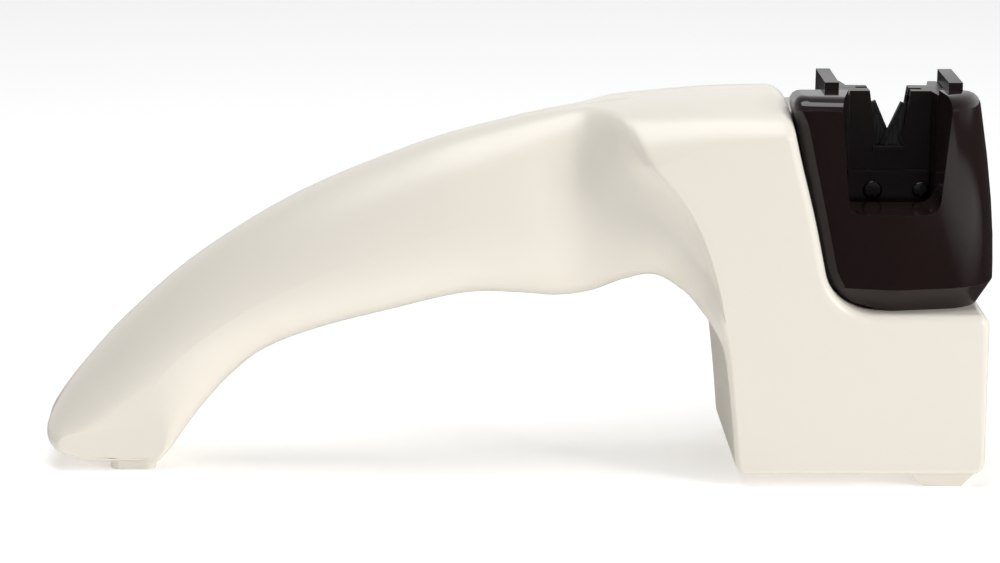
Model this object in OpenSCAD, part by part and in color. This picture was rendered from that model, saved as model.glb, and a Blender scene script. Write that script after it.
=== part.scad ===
// Hand held knife sharpener: an arched two-part handle that stands on two feet, and a
// head with a guarded slot where two sprung arms cross.
// The length runs along X with the handle to the left, the near side faces -Y and Z is up.

/* [Body] */
// Length from the tip of the handle to the nose of the head
overall_l = 189; // [180:1:198]
// Width of the base and the tower
body_w = 44; // [40:1:50]
// Height of the ridge on top of the tower
tower_h = 76.2; // [74:0.1:80]
// Height of the shelf that carries the head
shelf_h = 35.1; // [33:0.1:37]
// Height of the base above the table
base_lift = 2.6; // [2:0.1:3.4]
// Thickness of the shells
shell_wall = 2.2; // [1.8:0.1:2.5]
// Fall of the tower's top from its ridge to its sides
crown_h = 3.6; // [3:0.1:4.4]
// How far the rounding along the tower's top reaches down its side
shoulder_h = 2.8; // [1.6:0.1:3]
// How far the rounding along the tower's top reaches in from its side
shoulder_w = 7; // [3:0.1:8]
// Distance from the nose of the head back to the end of the base
base_setback = 2.2; // [1:0.1:4]

/* [Nook] */
// Distance from the nose of the head back to the top of the nook's wall
nook_back = 42.1; // [41:0.1:43]
// Lean of the nook's wall
nook_lean = 12.2; // [10:0.1:14]
// Radius where the nook's wall meets the shelf
nook_r = 10.6; // [9:0.1:12]
// Radius of the tower's upper corner
tower_corner_r = 3; // [2.8:0.1:4]
// Radius of the base's lower and outer corners
base_corner_r = 2.4; // [2.2:0.1:3]
// Rounding along the nook and the shelf
nook_edge_r = 1.9; // [1:0.1:2]
// Rounding along the bottom of the base
base_edge_r = 1.2; // [0.8:0.1:2]

/* [Feet] */
// Height of the pad under the handle
handle_pad_h = 1.8; // [1.4:0.1:2.4]
// Length of the pad under the handle
handle_pad_l = 9; // [7:0.1:11]
// Width of the pad under the handle
handle_pad_w = 18; // [14:0.1:19]
// Length of the base foot where it meets the table
base_foot_l = 7.6; // [6:0.1:9]
// Slope of the base foot's two sides, along X
base_foot_slope = 2.5; // [1:0.1:3]
// Width of the base foot
base_foot_w = 41.6; // [36:0.1:42]
// Distance from the end of the base to the middle of the base foot
base_foot_inset = 8.2; // [7.8:0.1:12]
// Distance between the base foot's two pegs
base_peg_spacing = 24; // [16:1:30]
// Radius of the feet's pegs
foot_peg_r = 1.6; // [1.2:0.1:2]
// Radius of the knobs on the pegs
foot_knob_r = 2.5; // [2.2:0.1:3]

/* [Head] */
// Distance from the middle of the slot to the nose of the head
head_nose = 21.05; // [19:0.05:23]
// Distance from the middle of the slot to the top of the head's right side
head_top_reach = 16.9; // [15.6:0.1:17]
// Depth of the head
head_d = 41; // [39:0.1:42]
// How far the head's front bows out between its corners
head_bow = 1.6; // [0.5:0.1:2.5]
// Height of the guard's two horns above the shelf
horn_rise = 42.6; // [41:0.1:44]
// Distance from the slot plane to the back of the horns
horn_back = 8.05; // [8:0.05:9]
// Height of the head's rim above the shelf, beside the cartridge
rim_rise = 37.9; // [36:0.1:39]
// Fall of that rim to the rear
rim_fall = 2; // [0:0.1:4]
// Thickness of the housing
head_wall = 2.4; // [2:0.1:2.8]
// Height of the tray's bevelled band
tray_h = 4.9; // [4:0.1:6]
// Inward slope of that band
tray_bevel = 3; // [1.5:0.1:4]

// Radius of the head's left corners, seen from above
head_left_r = 4; // [3:0.5:5]
// Radius of the head's right corners, seen from above
head_right_r = 12; // [9:0.5:13]
// Width of the two tongues that hold the head in the shells
tongue_w = 9.5; // [9:0.1:10]
// Thickness of the tongues
tongue_t = 5; // [4:0.1:6]
// Distance from the shelf down to the tongues' holes
tongue_drop = 6.6; // [6.2:0.1:8]
// Distance from the middle of the slot to the left tongue
left_tongue_reach = 3.4; // [3:0.1:4]
// Distance from the middle of the slot to the right tongue
right_tongue_reach = 10.1; // [9.8:0.1:10.5]
// Distance between the two long screws under the head
head_screw_spacing = 13; // [11:0.1:13.2]

/* [Guard window] */
// Width of the window in the guard at its top
window_top_w = 22.4; // [21:0.1:23]
// Width of the window at its bottom
window_bottom_w = 18.2; // [17:0.1:20]
// Height of the window's bottom above the shelf
window_rise = 19.9; // [18:0.1:22]
// Distance from the middle of the slot to the middle of the window
window_shift = 0.6; // [0:0.05:1]
// Width of the guard's channel at the slotted plates
channel_w = 16.2; // [15.6:0.1:17]

/* [Cartridge] */
// Width of the cartridge over its side walls
cartridge_w = 27.4; // [27.2:0.1:28]
// Depth of the cartridge along Y
cartridge_d = 15.5; // [14.6:0.1:15.8]
// Thickness of the side walls and the guide rails
rail_t = 2.8; // [2:0.1:3]
// Height of the guide rails' tops above the shelf
rail_rise = 44; // [43:0.1:45]
// Height of the slotted plates' tops above the shelf
plate_rise = 41.5; // [41:0.1:42.5]
// Height of the ledge above the shelf
ledge_rise = 25.5; // [25:0.1:26.5]
// Height of the cartridge's underside above the shelf
cartridge_rise = 17; // [16.5:0.1:17.5]
// Depth over the two slotted plates
plates_d = 6.5; // [6.4:0.05:7]
// Thickness of one slotted plate
plate_t = 1.1; // [0.9:0.05:1.1]
// Depth over the plates below the ledge
block_d = 9.2; // [9:0.1:10]
// Width of the slot at its top
slot_top_w = 8.2; // [7.6:0.1:9]
// Width of the slot at its bottom
slot_bottom_w = 4.8; // [4:0.1:5.2]
// Height of the slot's bottom above the shelf
slot_rise = 30.3; // [29.6:0.1:31]

/* [Arms] */
// Height of the V's lowest point above the shelf
apex_rise = 33.4; // [33:0.1:34]
// Lean of each arm
arm_lean = 24; // [22:0.5:25]
// Opening swing of each arm
arm_swing = 7; // [3:0.5:7]
// Width of an arm with its stone
arm_w = 3.8; // [3.4:0.1:4]
// Thickness of an arm
arm_t = 1.3; // [1:0.05:1.35]
// Length of an arm above the V's lowest point
arm_over = 6; // [5:0.1:6.2]
// Length of an arm from the V's lowest point down to its pivot
arm_under = 12; // [11.6:0.1:12.4]
// Thickness of the abrasive strip
stone_t = 0.8; // [0.5:0.05:1]
// Length of the abrasive strip below the V's lowest point
stone_under = 3.4; // [2:0.1:4]
// Radius of the pivot pins
pin_r = 1.1; // [0.9:0.05:1.15]
// Radius of the pivot pins' heads
pin_head_r = 1.9; // [1.6:0.05:2]
// Radius of the stop pins
stop_r = 0.8; // [0.6:0.05:0.9]
// Radius of the spring wire
wire_r = 0.25; // [0.2:0.01:0.26]

/* [Fasteners] */
// Radius of the shell screws' shanks
screw_r = 1.25; // [1:0.05:1.3]
// Radius of the shell screws' heads
screw_head_r = 2.3; // [2:0.05:2.4]
// Height of the shell screws' heads
screw_head_h = 1.8; // [1.4:0.1:2.2]
// Length of the shell screws' shanks
screw_l = 14; // [12:0.5:15]
// Radius of the screw bosses inside the shells
boss_r = 3; // [2.8:0.05:3.1]
// Radius of the small screws in the cartridge
small_screw_r = 0.9; // [0.7:0.05:0.95]
// Radius of the small screws' heads
small_head_r = 1.7; // [1.4:0.05:1.8]

/* [Hidden] */

$fn = 48;
cut = 1;
seat_gap = 0.15;
pin_gap = 0.04;
half_w = body_w / 2;
right_end = overall_l / 2;
base_end = right_end - base_setback;
nook_top_x = right_end - nook_back;
head_x = right_end - head_nose;

pad_top_share = handle_pad_h / tower_h;

// Each rib of the body joins a point of the lower outline to one of the upper outline.
// A row holds, in shares: the lower point's x and z, the upper point's x and z, the half
// width, the rounding along the rib and the rounding in depth for each end in turn, and
// how far the rib bows out to its right. x and the bow are shares of the length, z of the
// tower's height, the half width of the body's, the roundings of the rib's length and of
// the half width.
rib_shares = [
    [0.119, pad_top_share, 0.045, pad_top_share, 0.445, 0.06, 0.12, 0.06, 0.12, 0],
    [0.133, 0.060, 0.011, 0.049, 0.464, 0.08, 0.26, 0.08, 0.27, 0],
    [0.148, 0.108, 0.000, 0.097, 0.477, 0.20, 0.52, 0.17, 0.52, 0],
    [0.169, 0.169, 0.010, 0.164, 0.495, 0.37, 0.80, 0.34, 0.80, 0],
    [0.195, 0.236, 0.039, 0.264, 0.518, 0.48, 0.95, 0.49, 0.95, 0],
    [0.230, 0.304, 0.085, 0.391, 0.550, 0.49, 0.96, 0.49, 0.96, 0],
    [0.286, 0.361, 0.160, 0.554, 0.600, 0.49, 0.96, 0.49, 0.96, 0],
    [0.362, 0.412, 0.267, 0.720, 0.655, 0.49, 0.96, 0.49, 0.96, 0],
    [0.443, 0.459, 0.394, 0.853, 0.673, 0.49, 0.96, 0.49, 0.96, 0],
    [0.500, 0.458, 0.481, 0.915, 0.636, 0.49, 0.96, 0.48, 0.92, 0],
    [0.540, 0.451, 0.529, 0.942, 0.573, 0.49, 0.96, 0.47, 0.86, 0],
    [0.577, 0.463, 0.556, 0.954, 0.524, 0.48, 0.95, 0.45, 0.79, 0],
    [0.611, 0.496, 0.570, 0.960, 0.550, 0.44, 0.90, 0.40, 0.72, 0.004],
    [0.643, 0.517, 0.584, 0.965, 0.655, 0.32, 0.74, 0.32, 0.60, 0.011],
    [0.672, 0.490, 0.597, 0.970, 0.820, 0.18, 0.46, 0.25, 0.53, 0.016],
    [0.688, 0.455, 0.607, 0.973, 0.940, 0.10, 0.26, 0.21, 0.50, 0.018],
    [0.699, 0.420, 0.620, 0.977, 1.000, 0.06, 0.16, 0.18, 0.47, 0.018],
    [0.711, 0.358, 0.657, 0.986, 1.000, 0.028, 0.07, 0.12, 0.38, 0.010],
    [0.7185, 0.230, 0.704, 0.996, 1.000, 0.019, 0.055, 0.075, 0.33, 0.001]
];
// The tower's left wall meets the bottom of the base at this share of the length
base_start_share = 0.7265;
// Share of the base's bottom that faces the nook's wall, and that which faces its curve too
wall_foot_share = 0.24;
curve_foot_share = 0.46;
// The crown grows from the first of these shares to the second, along the length and the height
crown_x_shares = [0.53, 0.62];
crown_z_shares = [0.66, 0.98];
least_edge = 0.5;
least_corner_r = 0.6;
rib_steps = 2;
corner_steps = 4;
curve_steps = 6;
edge_steps = 5;
crown_steps = 3;
middle_steps = 3;

function mix(a, b, t) = a + (b - a) * t;
function smooth(t) = let (u = min(max(t, 0), 1)) u * u * (3 - 2 * u);
function unit(v) = v / norm(v);
function left_of(d) = [-d.y, d.x];
function turned(v, a) = [v.x * cos(a) - v.y * sin(a), v.x * sin(a) + v.y * cos(a)];

// A smooth curve through the rows of a table, between row i and the next
function curve_at(rows, i, t) = let (
    a = rows[max(i - 1, 0)],
    b = rows[i],
    c = rows[i + 1],
    d = rows[min(i + 2, len(rows) - 1)]
) (2 * b + (c - a) * t + (2 * a - 5 * b + 4 * c - d) * t * t + (3 * b - a - 3 * c + d) * t * t * t) / 2;

// A rounded corner at p between the directions d_in and d_out. side is 1 where the body
// lies to the left of the path and -1 where it lies to the right.
function corner_path(p, d_in, d_out, r, inset, side, steps) = let (
    n_in = side * left_of(d_in),
    n_out = side * left_of(d_out),
    corner = p + inset * (n_in + n_out) / (1 + n_in * n_out),
    turn = atan2(d_in.x * d_out.y - d_in.y * d_out.x, d_in * d_out),
    outward = turn * side > 0,
    radius = outward ? max(r - inset, least_corner_r) : r + inset,
    start = corner - d_in * radius * tan(abs(turn) / 2),
    centre = start + left_of(d_in) * radius * sign(turn)
) [for (i = [0 : steps]) centre + turned(start - centre, turn * i / steps)];

// Corners of the two outlines
wall_dir = unit([sin(nook_lean), -cos(nook_lean)]);
right_dir = [1, 0];
tower_corner = [nook_top_x, tower_h];
nook_corner = [nook_top_x + (tower_h - shelf_h) * tan(nook_lean), shelf_h];
shelf_corner = [base_end, shelf_h];
base_corner = [base_end, base_lift];
last_rib = rib_shares[len(rib_shares) - 1];
function share_point(x_share, z_share) = [(x_share - 1 / 2) * overall_l, z_share * tower_h];
base_start = [share_point(base_start_share, 0).x, base_lift];
left_wall_dir = unit(base_start - share_point(last_rib[0], last_rib[1]));

// Lengths at one rib: half width, then along and deep for each end, then the bow
function rib_sizes(row) = let (
    span = norm(share_point(row[2], row[3]) - share_point(row[0], row[1])),
    w = min(row[4], 1) * half_w
) [w, row[5] * span, row[6] * w, row[7] * span, row[8] * w, row[9] * overall_l];

base_start_path = corner_path(base_start, left_wall_dir, right_dir, base_corner_r, 0, 1, corner_steps);
tower_corner_path = corner_path(tower_corner, right_dir, wall_dir, tower_corner_r, 0, -1, corner_steps);
rib_rows = [for (row = rib_shares) concat(
    share_point(row[0], row[1]), share_point(row[2], row[3]), rib_sizes(row))];
last_sizes = [half_w, base_edge_r, base_edge_r, shoulder_h, shoulder_w, 0];
arch_rows = concat(rib_rows, [concat(base_start_path[0], tower_corner_path[0], last_sizes)]);
arch_ribs = [for (i = [0 : len(arch_rows) - 2], k = [0 : rib_steps - 1]) curve_at(arch_rows, i, k / rib_steps)];
block_sizes = [half_w, base_edge_r, base_edge_r, nook_edge_r, nook_edge_r, 0];

// Moves a path towards the body by the inset
function path_dirs(path) = [for (i = [0 : len(path) - 1])
    unit(path[min(i + 1, len(path) - 1)] - path[max(i - 1, 0)])];
function moved_path(path, inset, side) = let (dirs = path_dirs(path))
    [for (i = [0 : len(path) - 1]) path[i] + side * left_of(dirs[i]) * inset];
function line_points(a, b, steps) = [for (i = [1 : steps]) mix(a, b, i / (steps + 1))];

arch_low = concat([for (r = arch_ribs) [r[0], r[1]]], [base_start_path[0]]);
arch_up = concat([for (r = arch_ribs) [r[2], r[3]]], [tower_corner_path[0]]);
arch_count = len(arch_ribs);

function first_points(path, count) = [for (i = [0 : count - 1]) path[i]];

// The lower outline: handle, arch, tower's left wall, bottom of the base, end of the base
function low_path(inset) = let (
    arch = first_points(moved_path(arch_low, inset, 1), arch_count),
    start = corner_path(base_start, left_wall_dir, right_dir, base_corner_r, inset, 1, corner_steps),
    finish = corner_path(base_corner, right_dir, [0, 1], base_corner_r, inset, 1, corner_steps),
    a = start[corner_steps],
    b = finish[0],
    wall_foot = mix(a, b, wall_foot_share),
    curve_foot = mix(a, b, curve_foot_share)
) concat(arch, start, line_points(a, wall_foot, 1), [wall_foot],
    line_points(wall_foot, curve_foot, curve_steps - 1), [curve_foot], finish);

// The upper outline: top of the handle and the tower, nook, shelf, end of the base
function up_path(inset) = let (
    arch = first_points(moved_path(arch_up, inset, -1), arch_count),
    top = corner_path(tower_corner, right_dir, wall_dir, tower_corner_r, inset, -1, corner_steps),
    nook = corner_path(nook_corner, wall_dir, right_dir, nook_r, inset, -1, curve_steps),
    finish = corner_path(shelf_corner, right_dir, [0, -1], base_corner_r, inset, -1, corner_steps)
) concat(arch, top, line_points(top[corner_steps], nook[0], 1), nook, finish);

station_sizes = concat(
    [for (r = arch_ribs) [r[4], r[5], r[6], r[7], r[8], r[9]]],
    [for (i = [0 : corner_steps]) mix(last_sizes, block_sizes, i / corner_steps)],
    [for (i = [0 : 1 + curve_steps + corner_steps + 1]) block_sizes]);

// The tower's top falls away from its ridge to both sides
function crowned(p) = let (
    xs = p.x / overall_l + 1 / 2,
    zs = p.z / tower_h,
    grow = smooth((xs - crown_x_shares[0]) / (crown_x_shares[1] - crown_x_shares[0]))
        * smooth((zs - crown_z_shares[0]) / (crown_z_shares[1] - crown_z_shares[0]))
) [p.x, p.y, p.z - crown_h * grow * pow(p.y / half_w, 2)];

// A rounding leaves the outline squarely and, where it is large, turns along the rib
function rib_turn(along, span) = smooth(2 * along / span);
function edge_points(p, n, rib, w, along, deep) = let (
    span = norm(rib),
    turn = rib_turn(along, span)
) [for (i = [0 : edge_steps]) let (
    a = 90 * i / edge_steps,
    s = 1 - cos(a),
    move = mix(n, rib / span, turn * s) * along * s
) [p.x + move.x, deep - w - deep * sin(a), p.y + move.y]];
function reversed(list) = [for (i = [len(list) - 1 : -1 : 0]) list[i]];

// Moves a point of a rib out to the rib's right, most at its middle
function bowed(q, low, up, bow) = let (
    rib = up - low,
    t = min(max(([q.x, q.z] - low) * rib / (rib * rib), 0), 1),
    out = bow * 4 * t * (1 - t) / norm(rib)
) [q.x + out * rib.y, q.y, q.z - out * rib.x];

// The middle of a slanted rib that has no bow keeps clear of the arch by this share of its slant
middle_shift_share = 0.4;
// One half section of the body, from the lower seam round the near side to the upper seam
function half_section(low, low_n, up, up_n, sizes, inset) = let (
    w = min(sizes[0], half_w) - inset,
    low_deep = max(sizes[2] - inset, least_edge),
    up_deep = max(sizes[4] - inset, least_edge),
    low_edge = edge_points(low, low_n, up - low, w, max(sizes[1] - inset, least_edge), low_deep),
    up_edge = edge_points(up, up_n, low - up, w, max(sizes[3] - inset, least_edge), up_deep),
    start = [for (i = [0 : crown_steps - 1]) [low.x, (low_deep - w) * i / crown_steps, low.y]],
    slant = low_edge[edge_steps].x - up_edge[edge_steps].x,
    shift = sizes[5] > 0 ? 0 : max(slant - base_corner_r / 3, 0) * middle_shift_share,
    middle = [for (i = [1 : middle_steps]) let (t = i / (middle_steps + 1))
        mix(low_edge[edge_steps], up_edge[edge_steps], t) + [pow(4 * t * (1 - t), 2) * shift, 0, 0]],
    finish = [for (i = [crown_steps - 1 : -1 : 0]) [up.x, (up_deep - w) * i / crown_steps, up.y]]
) [for (q = concat(start, low_edge, middle, reversed(up_edge), finish))
    crowned(bowed(q, low, up, sizes[5]))];

function half_skin(inset) = let (
    low = low_path(inset),
    up = up_path(inset),
    low_dirs = path_dirs(low),
    up_dirs = path_dirs(up)
) [for (i = [0 : len(low) - 1])
    each half_section(low[i], left_of(low_dirs[i]), up[i], -left_of(up_dirs[i]), station_sizes[i], inset)];

ring = 2 * (crown_steps + edge_steps + 1) + middle_steps;
stations = len(station_sizes);
cap_steps = crown_steps + edge_steps - 1;

// Near half of the hollow body, open at the parting plane y = 0
module half_body() {
    outer = half_skin(0);
    inner = half_skin(shell_wall);
    m = len(outer);
    last = (stations - 1) * ring;
    skin = [for (i = [0 : stations - 2], j = [0 : ring - 2]) let (a = i * ring + j)
        [a, a + 1, a + ring + 1, a + ring]];
    lining = [for (f = skin) [f[3] + m, f[2] + m, f[1] + m, f[0] + m]];
    low_rim = [for (i = [0 : stations - 2]) let (a = i * ring) [a, a + ring, a + m + ring, a + m]];
    up_rim = [for (i = [0 : stations - 2]) let (a = i * ring + ring - 1)
        [a, a + m, a + m + ring, a + ring]];
    tip = concat([for (j = [0 : cap_steps - 1]) [ring - 1 - j, ring - 2 - j, j + 1, j]],
        [[for (j = [ring - 1 - cap_steps : -1 : cap_steps]) j]]);
    end = [for (f = tip) [for (j = reversed(f)) j + last]];
    tip_lining = [for (f = tip) [for (j = reversed(f)) j + m]];
    end_lining = [for (f = end) [for (j = reversed(f)) j + m]];
    tip_rim = [[m, ring - 1 + m, ring - 1, 0]];
    end_rim = [[last + ring - 1, last + m + ring - 1, last + m, last]];
    polyhedron(concat(outer, inner),
        concat(skin, lining, low_rim, up_rim, tip, end, tip_lining, end_lining, tip_rim, end_rim),
        convexity = 8);
}

// Places of the shell screws, seen from the near side
handle_screw = share_point(0.193, 0.41);
tower_screw = share_point(0.69, 0.8);
base_screw = share_point(0.765, 0.19);
left_tongue = [head_x - left_tongue_reach, shelf_h - tongue_drop];
right_tongue = [head_x + right_tongue_reach, shelf_h - tongue_drop];
handle_width_share = 0.55;
handle_w = handle_width_share * half_w;
shell_screw_places = [[handle_screw, handle_w], [tower_screw, half_w], [base_screw, half_w],
    [left_tongue, half_w], [right_tongue, half_w]];
screw_bite_share = 0.57;
screw_seat = screw_l * (1 - screw_bite_share);
well_r = screw_head_r + seat_gap;
well_wall = 1.2;

// Places of the feet
handle_pad_x = share_point(0.0915, 0).x;
base_foot_x = base_end - base_foot_inset;
knob_h = 1.2;
pad_corner_r = 2;

// A cylinder along Y, at p in the X and Z plane, from y on for the length h
module along_y(p, y, h, r) {
    translate([p.x, y, p.y]) rotate([-90, 0, 0]) cylinder(h = h, r = r);
}

// A box from its lowest to its highest corner
module box(low, high) {
    translate(low) cube(high - low);
}

// A polygon in the X and Z plane, from y on for the length h
module upright(points, y, h) {
    translate([0, y + h, 0]) rotate([90, 0, 0]) linear_extrude(height = h) polygon(points);
}

// Slots and holes that both shells share, taken from the material
module shell_openings() {
    for (p = [left_tongue, right_tongue])
        box([p.x - tongue_w / 2 - seat_gap, -tongue_t / 2 - seat_gap, shelf_h - shell_wall - cut],
            [p.x + tongue_w / 2 + seat_gap, tongue_t / 2 + seat_gap, shelf_h + nook_r / 2]);
    for (y = [-base_peg_spacing / 2, base_peg_spacing / 2])
        translate([base_foot_x, y, 0]) cylinder(h = base_lift + shell_wall + cut, r = foot_peg_r + seat_gap);
    translate([handle_pad_x, 0, 0])
        cylinder(h = handle_pad_h + 2 * shell_wall, r = foot_peg_r + seat_gap);
}

shell_hole_sides = 24;
module front_shell() {
    $fn = shell_hole_sides;
    color("ivory") difference() {
        union() {
            half_body();
            for (s = shell_screw_places)
                along_y(s[0], shell_wall / 2 - s[1], s[1] - shell_wall / 2, boss_r);
        }
        for (s = shell_screw_places)
            along_y(s[0], -screw_l * screw_bite_share - cut, screw_l * screw_bite_share + 2 * cut,
                screw_r + pin_gap);
        shell_openings();
    }
}

module rear_shell() {
    $fn = shell_hole_sides;
    color("ivory") difference() {
        union() {
            mirror([0, 1, 0]) half_body();
            for (s = shell_screw_places) {
                along_y(s[0], 0, screw_seat, boss_r);
                along_y(s[0], screw_seat - well_wall, s[1] - shell_wall / 2 - screw_seat + well_wall,
                    well_r + well_wall);
            }
        }
        for (s = shell_screw_places) {
            along_y(s[0], -cut, screw_seat + 2 * cut, screw_r + seat_gap);
            along_y(s[0], screw_seat, s[1] + cut, well_r);
        }
        shell_openings();
    }
}

// A plate with round corners, centred in X and Y
module round_plate(l, w, h, r) {
    linear_extrude(height = h) union() {
        square([l - 2 * r, w], center = true);
        square([l, w - 2 * r], center = true);
        for (x = [r - l / 2, l / 2 - r], y = [r - w / 2, w / 2 - r]) translate([x, y]) circle(r = r);
    }
}

// A peg through the shell's wall, with the knob that keeps it there
module foot_peg(z) {
    translate([0, 0, z]) cylinder(h = shell_wall + seat_gap + knob_h, r = foot_peg_r);
    translate([0, 0, z + shell_wall + seat_gap]) cylinder(h = knob_h, r = foot_knob_r);
}

module handle_foot() {
    color("antiquewhite") translate([handle_pad_x, 0, 0]) union() {
        round_plate(handle_pad_l, handle_pad_w, handle_pad_h, pad_corner_r);
        foot_peg(handle_pad_h);
    }
}

module base_foot() {
    half_l = base_foot_l / 2;
    color("antiquewhite") union() {
        upright([[base_foot_x - half_l, 0], [base_foot_x + half_l, 0],
            [base_foot_x + half_l + base_foot_slope, base_lift],
            [base_foot_x - half_l - base_foot_slope, base_lift]], -base_foot_w / 2, base_foot_w);
        for (y = [-base_peg_spacing / 2, base_peg_spacing / 2])
            translate([base_foot_x, y, 0]) foot_peg(base_lift);
    }
}

module shell_screws() {
    color("silver") for (s = shell_screw_places) union() {
        along_y(s[0], screw_seat - screw_l, screw_l, screw_r);
        along_y(s[0], screw_seat, screw_head_h, screw_head_r);
    }
}

// Heights of the head
horn_z = shelf_h + horn_rise;
rim_z = shelf_h + rim_rise;
ridge_z = shelf_h + tray_h;
window_x = head_x - window_shift;
window_z = shelf_h + window_rise;
cartridge_z = shelf_h + cartridge_rise;
plate_z = shelf_h + plate_rise;
rail_z = shelf_h + rail_rise;
ledge_z = shelf_h + ledge_rise;
slot_z = shelf_h + slot_rise;
apex_z = shelf_h + apex_rise;
horn_round_h = 2.4;
horn_round_w = 2.6;
horn_round_d = 4.6;
horn_round_turns = [0, 25, 50, 72, 90];
slice_h = 0.05;
half_head_d = head_d / 2;

// The head's left side follows the nook with a small gap
nook_turn = 90 - nook_lean;
nook_centre = nook_corner + [nook_r * tan(nook_turn / 2), nook_r];
nook_arc_top = nook_centre.y - nook_r * sin(nook_lean);
function head_left(z) = z > nook_arc_top
    ? nook_top_x + (tower_h - z) * tan(nook_lean) + seat_gap
    : nook_centre.x - sqrt(max(pow(nook_r - seat_gap, 2) - pow(nook_centre.y - z, 2), 0));
function head_right(z) =
    head_x + mix(head_top_reach, head_nose, sin(90 * min(max((horn_z - z) / (horn_z - ridge_z), 0), 1)));

// A thin slice of the head at the height z, drawn in by an inset on each side
module head_slice(z, inset, left_inset, depth_inset) {
    left_r = max(head_left_r - inset, least_corner_r);
    right_r = max(head_right_r - inset, least_corner_r);
    bow_r = min(head_right_r, head_x - head_left(z) - left_inset);
    side_y = half_head_d - head_bow - depth_inset;
    for (s = [-1, 1]) translate([0, 0, z]) {
        translate([head_left(z) + left_inset + left_r, s * (side_y - left_r), 0])
            cylinder(h = slice_h, r = left_r, $fn = 32);
        translate([head_right(z) - inset - right_r, s * (side_y - right_r), 0])
            cylinder(h = slice_h, r = right_r, $fn = 32);
        translate([head_x, s * (half_head_d - depth_inset - bow_r), 0])
            cylinder(h = slice_h, r = bow_r, $fn = 32);
    }
}

// The horns' tops are rounded to all sides, and most to the front
head_level_shares = [0, 0.09, 0.25, 0.45, 0.7];
module head_form() {
    hull() {
        for (t = head_level_shares) head_slice(mix(ridge_z, horn_z - horn_round_h, t), 0, 0, 0);
        for (a = horn_round_turns) head_slice(horn_z - slice_h - horn_round_h * (1 - sin(a)),
            horn_round_w * (1 - cos(a)), horn_round_w * (1 - cos(a)), horn_round_d * (1 - cos(a)));
    }
}

cavity_top = rim_z - rim_fall - head_wall;
module head_cavity() {
    hull() for (t = concat(head_level_shares, [1]))
        head_slice(mix(ridge_z, cavity_top, t) - (t > 0 ? 0 : cut), head_wall, head_wall, head_wall);
}

// Outline of the guard's window, seen from the near side
window_corner_r = 2.6;
function window_outline(grow) = let (
    r = window_corner_r,
    bottom = window_z - grow,
    low_half = window_bottom_w / 2 + grow,
    top_half = window_top_w / 2 + grow,
    right = [for (i = [0 : corner_steps]) let (a = 90 * i / corner_steps)
        [window_x + low_half - r + r * sin(a), bottom + r - r * cos(a)]]
) concat(right, [[window_x + top_half, horn_z + cut], [window_x - top_half, horn_z + cut]],
    reversed([for (p = right) [2 * window_x - p.x, p.y]]));

// The channel narrows from the window to the slotted plates, seen from above
function channel_half(y) = mix(window_top_w, channel_w,
    (half_head_d - abs(y)) / (half_head_d - plates_d / 2)) / 2;
well_d = cartridge_d + 2 * seat_gap;
well_w = cartridge_w + 2 * seat_gap;
inner_wall = 1.8;
module channel(side) {
    reach = half_head_d + cut;
    near = well_d / 2 - cut;
    intersection() {
        upright(window_outline(0), side > 0 ? near : -reach, reach - near);
        translate([0, 0, window_z - cut]) linear_extrude(height = horn_rise) polygon([
            [window_x - channel_half(reach), side * reach], [window_x + channel_half(reach), side * reach],
            [head_x + channel_half(near), side * near], [head_x - channel_half(near), side * near]]);
    }
}

// What stays solid inside the housing: the cartridge's well, both channels, the screw posts
module head_blocks() {
    box([head_x - well_w / 2 - inner_wall, -well_d / 2 - inner_wall, cartridge_z - inner_wall],
        [head_x + well_w / 2 + inner_wall, well_d / 2 + inner_wall, horn_z]);
    upright(window_outline(inner_wall), -half_head_d, head_d);
    for (s = [-1, 1]) translate([head_x, s * head_screw_spacing / 2, ridge_z + inner_wall])
        cylinder(h = cartridge_z - ridge_z - inner_wall, r = boss_r);
}

module head_housing() {
    color([0.13, 0.09, 0.085]) difference() {
        head_form();
        difference() {
            head_cavity();
            head_blocks();
        }
        box([head_x - well_w / 2, -well_d / 2, cartridge_z], [head_x + well_w / 2, well_d / 2, horn_z + cut]);
        channel(-1);
        channel(1);
        translate([head_x - overall_l / 4, 0, 0]) rotate([90, 0, 90]) linear_extrude(height = overall_l / 2)
            polygon([[-horn_back, rim_z], [half_head_d + cut, rim_z - rim_fall],
                [half_head_d + cut, horn_z + cut], [-horn_back, horn_z + cut]]);
        for (s = [-1, 1]) translate([head_x, s * head_screw_spacing / 2, ridge_z])
            cylinder(h = horn_rise, r = screw_r + seat_gap);
    }
}

// The tray's top plate, and the locating ribs that stand inside the housing
tray_plate = 2.4;
rib_l = 16;
rib_t = 1.6;
tray_levels = 4;
module head_base() {
    color([0.2, 0.15, 0.14]) difference() {
        union() {
            difference() {
                hull() for (i = [0 : tray_levels]) let (t = i / tray_levels)
                    head_slice(mix(shelf_h, ridge_z - slice_h, t), tray_bevel * (1 - t), seat_gap,
                        tray_bevel * (1 - t));
                box([head_x - screw_head_r - 2 * seat_gap, -head_screw_spacing, shelf_h - cut],
                    [head_x + head_top_reach - tray_plate, head_screw_spacing, ridge_z - tray_plate]);
            }
            for (p = [left_tongue, right_tongue])
                box([p.x - tongue_w / 2, -tongue_t / 2, p.y - tongue_w / 2],
                    [p.x + tongue_w / 2, tongue_t / 2, ridge_z - tray_plate / 2]);
            for (s = [-1, 1]) translate([head_x, s * (half_head_d - head_bow - head_wall - rib_t), ridge_z])
                box([-rib_l / 2, -rib_t / 2, -tray_plate / 2], [rib_l / 2, rib_t / 2, rib_t]);
        }
        for (p = [left_tongue, right_tongue])
            along_y(p, -tongue_t, 2 * tongue_t, boss_r + seat_gap);
        for (s = [-1, 1]) translate([head_x, s * head_screw_spacing / 2, shelf_h])
            cylinder(h = tray_h + cut, r = screw_r + seat_gap);
    }
}

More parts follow.
